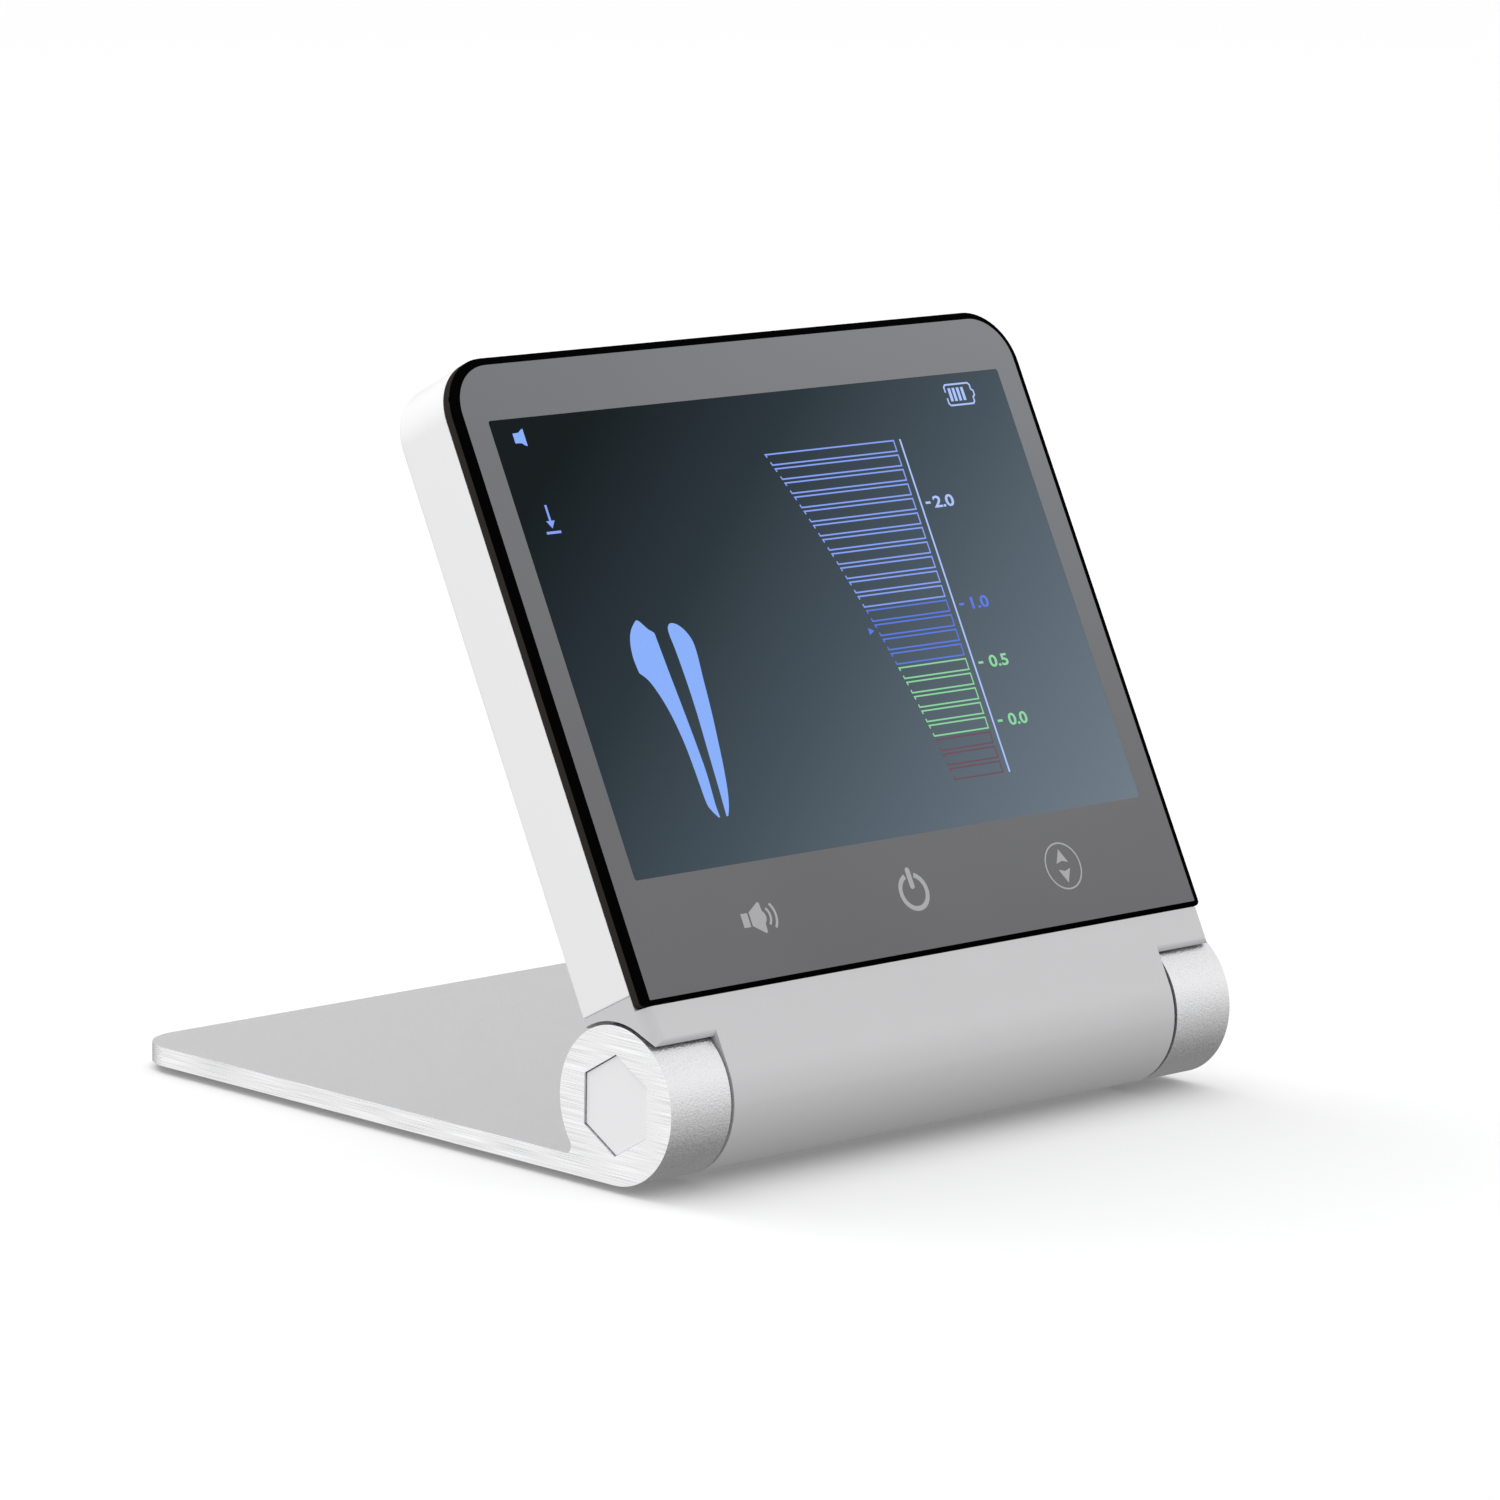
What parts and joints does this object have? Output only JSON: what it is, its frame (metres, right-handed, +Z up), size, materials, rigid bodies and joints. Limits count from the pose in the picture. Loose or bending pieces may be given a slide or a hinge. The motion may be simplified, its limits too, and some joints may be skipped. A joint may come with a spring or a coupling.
{
  "type": "apex locator",
  "caption": "Folding dental root canal length meter: a slim tilting screen unit with a touch display, hinged by its barrel to a flat aluminium stand plate.",
  "frame": {"origin": "middle of the object's footprint, on the table", "axes": "+X to the right seen from the front, +Y to the back along the stand plate, +Z up; the screen faces -Y and leans back"},
  "size_m": [0.1006, 0.1036, 0.099],
  "materials": {
    "aluminium": "satin anodised",
    "whitePlastic": "smooth satin gloss",
    "coverPlastic": "satin",
    "plugPlastic": "smooth matt",
    "glass": "glossy, with a printed grey border and a dark ground edge",
    "screen": "smooth",
    "diffuser": "milky",
    "blackPlastic": "matt",
    "film": "polyimide film",
    "board": "solder mask over glass fibre laminate",
    "chip": "moulded",
    "steel": "turned",
    "springSteel": "hardened",
    "brass": "plain",
    "nickel": "nickel plated",
    "cellWrap": "shrink wrap",
    "rubber": "matt",
    "redWire": "insulation",
    "blackWire": "insulation",
    "tape": "foam tape"
  },
  "bodies": {
    "stand": {"base_frame": "aluminium", "foot_front_left": "rubber", "foot_front_right": "rubber", "foot_rear_left": "rubber", "foot_rear_right": "rubber", "hinge_plug_left": "plugPlastic", "hinge_plug_right": "plugPlastic", "hinge_shaft_left": "steel", "hinge_shaft_right": "steel", "thrust_washer_left": "blackPlastic", "thrust_washer_right": "blackPlastic", "friction_washer_left": "brass", "friction_washer_right": "brass", "disc_spring_left": "springSteel", "disc_spring_right": "springSteel", "hinge_nut_left": "steel", "hinge_nut_right": "steel"},
    "screen_unit": {"hinge_block_left": "steel", "hinge_block_right": "steel", "block_screw_left": "steel", "block_screw_right": "steel", "cover_screw_left": "steel", "cover_screw_right": "steel", "case_screw_low_left": "steel", "case_screw_low_right": "steel", "case_screw_high_left": "steel", "case_screw_high_right": "steel", "mid_frame": "blackPlastic", "speaker": "blackPlastic", "lead_socket": "blackPlastic", "rear_shell": "whitePlastic", "lower_cover": "coverPlastic", "lens": "glass", "lens_tape": "tape", "backlight": "diffuser", "display_panel": "screen", "display_flex": "film", "touch_film": "film", "main_board": "board", "processor": "chip", "shield_can": "nickel", "usb_socket": "nickel", "battery_contact_positive": "nickel", "battery_contact_negative": "nickel", "battery_cell": "cellWrap", "battery_lead_positive": "redWire", "battery_lead_negative": "blackWire"}
  },
  "joints": [
    {"name": "screen_tilt", "type": "hinge", "parent": "stand", "child": "screen_unit", "pos_m": [0, -0.04185, 0.011], "axis": [1, 0, 0], "range_deg": [-66.2, 27.3]}
  ]
}
